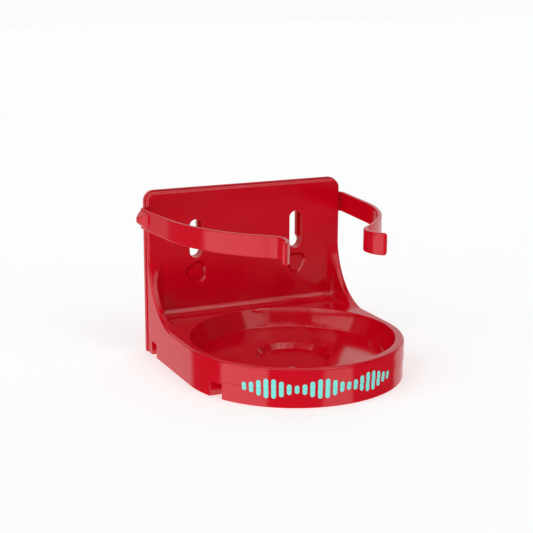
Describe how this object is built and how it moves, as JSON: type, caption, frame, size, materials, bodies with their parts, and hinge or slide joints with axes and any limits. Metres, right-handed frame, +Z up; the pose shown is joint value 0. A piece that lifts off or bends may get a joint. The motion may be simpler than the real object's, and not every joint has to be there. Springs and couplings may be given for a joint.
{
  "type": "gas cylinder bracket",
  "caption": "Red bracket that holds an air pack's cylinder on a wall or bench: back plate with keyholes, cupped round seat and curved spring clip arms.",
  "frame": {"origin": "middle of the lower edge of the back plate's rear face, level with the base", "axes": "+Z up; +Y out of the back plate towards the wall; +X to the right seen from the front"},
  "size_m": [0.1218, 0.1166, 0.0843],
  "materials": {
    "moulding": "semi-gloss red moulding",
    "back_plate": "semi-gloss red moulding",
    "cover": "semi-gloss red moulding",
    "strip": "red coated spring steel",
    "plugs": "semi-gloss red moulding",
    "rivets": "satin steel",
    "screws": "satin steel"
  },
  "bodies": {
    "bracket": {"bracket_body": "moulding", "seat_cup": "moulding", "back_plate": "back_plate", "base_cover": "cover", "base_screws": "screws", "clip_band": "strip", "left_arm_root": "strip", "right_arm_root": "strip", "band_rivets": "rivets", "left_plug": "plugs", "right_plug": "plugs"},
    "left_arm": {"left_arm": "strip"},
    "right_arm": {"right_arm": "strip"}
  },
  "joints": [
    {"name": "left_arm_flex", "type": "hinge", "parent": "bracket", "child": "left_arm", "pos_m": [-0.05591, -0.016, 0.07085], "axis": [0, 0, -1], "range_deg": [0, 15], "stiffness_Nm_per_rad": 10},
    {"name": "right_arm_flex", "type": "hinge", "parent": "bracket", "child": "right_arm", "pos_m": [0.05591, -0.016, 0.07085], "axis": [0, 0, 1], "range_deg": [0, 15], "stiffness_Nm_per_rad": 10}
  ]
}
